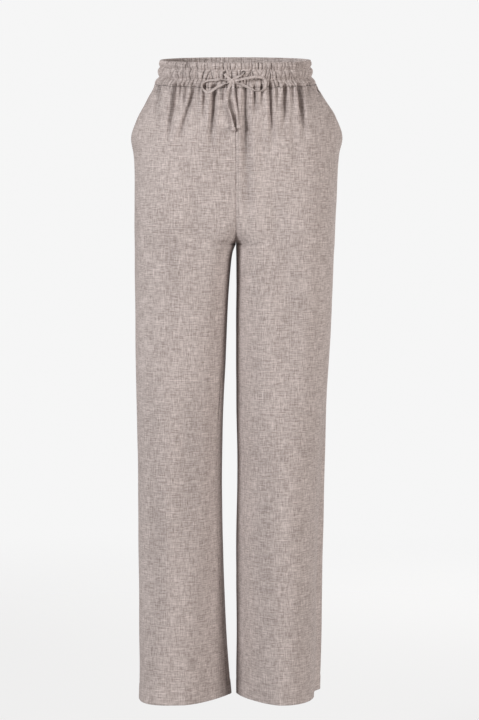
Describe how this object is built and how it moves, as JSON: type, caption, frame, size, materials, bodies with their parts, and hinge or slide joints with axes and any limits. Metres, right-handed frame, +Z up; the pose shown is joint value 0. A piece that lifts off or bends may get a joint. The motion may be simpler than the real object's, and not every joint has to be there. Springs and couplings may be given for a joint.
{
  "type": "linen drawstring trousers",
  "caption": "Hollow worn-form linen trousers with straight wide legs, gathered elastic waistband, drawstring bow and slanted side pockets.",
  "frame": {"origin": "middle of the waist, halfway up the waistband at the side seams, where the wearer's waist holds it", "axes": "+Z up, front towards -Y, the wearer's left leg at +X"},
  "size_m": [0.3486, 0.2662, 1.0762],
  "materials": {
    "linen": "matt melange linen, greige, plain weave with slubs",
    "linen_facing": "the same linen, in the shade of the pocket mouth",
    "linen_tie": "the same linen, folded and stitched into a narrow tie",
    "eyelet_thread": "sewn thread, satin stitch"
  },
  "bodies": {
    "root": {"back_left": "linen", "back_right": "linen", "bow_knot": "linen_tie", "end_knot_left": "linen_tie", "end_knot_right": "linen_tie", "eyelet_left": "eyelet_thread", "eyelet_right": "eyelet_thread", "front_left": "linen", "front_right": "linen", "pocket_facing_left": "linen_facing", "pocket_facing_right": "linen_facing", "tie_lead_left": "linen_tie", "tie_lead_right": "linen_tie", "tie_loop_left": "linen_tie", "tie_loop_right": "linen_tie", "tie_tail_left": "linen_tie", "tie_tail_right": "linen_tie", "waistband": "linen"}
  },
  "joints": []
}
